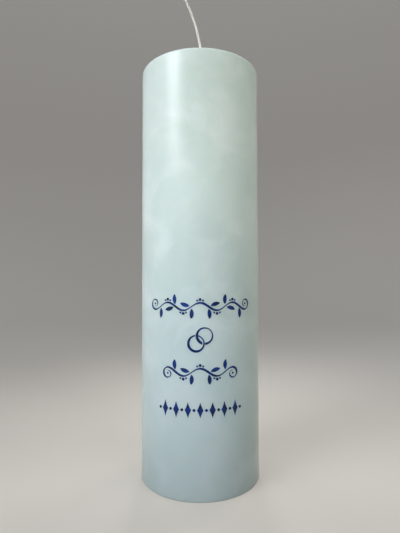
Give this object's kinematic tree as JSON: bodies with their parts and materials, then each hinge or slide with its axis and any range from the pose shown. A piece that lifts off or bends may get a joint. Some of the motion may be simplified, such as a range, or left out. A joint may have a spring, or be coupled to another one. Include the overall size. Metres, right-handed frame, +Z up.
{
  "type": "unity candle",
  "caption": "Tall dipped wax pillar candle with a small rounded top edge, a long braided wick that leans over, and dark blue cut-film garlands, linked rings and beads on its front.",
  "frame": {"origin": "centre of the flat base, on the surface that the candle stands on", "axes": "+Z up along the candle's axis, -Y out of the decorated front, +X to the right seen from the front"},
  "size_m": [0.07, 0.0701, 0.2994],
  "materials": {
    "coat_wax": "smooth glossy overdip wax",
    "core_wax": "pressed granulated wax, matt",
    "wick_cotton": "braided cotton primed with wax",
    "tinplate": "bright pressed tinplate",
    "blue_film": "thin cut decorating film, satin dark blue"
  },
  "bodies": {
    "root": {"wax_core": "core_wax", "overdip_coat": "coat_wax", "base_seal": "core_wax", "wick_sustainer": "tinplate", "wick": "wick_cotton", "upper_stem": "blue_film", "upper_leaves": "blue_film", "upper_berries": "blue_film", "lower_stem": "blue_film", "lower_leaves": "blue_film", "lower_berries": "blue_film", "ring_left": "blue_film", "ring_right": "blue_film", "bead_lozenges": "blue_film", "bead_dots": "blue_film"}
  },
  "joints": []
}
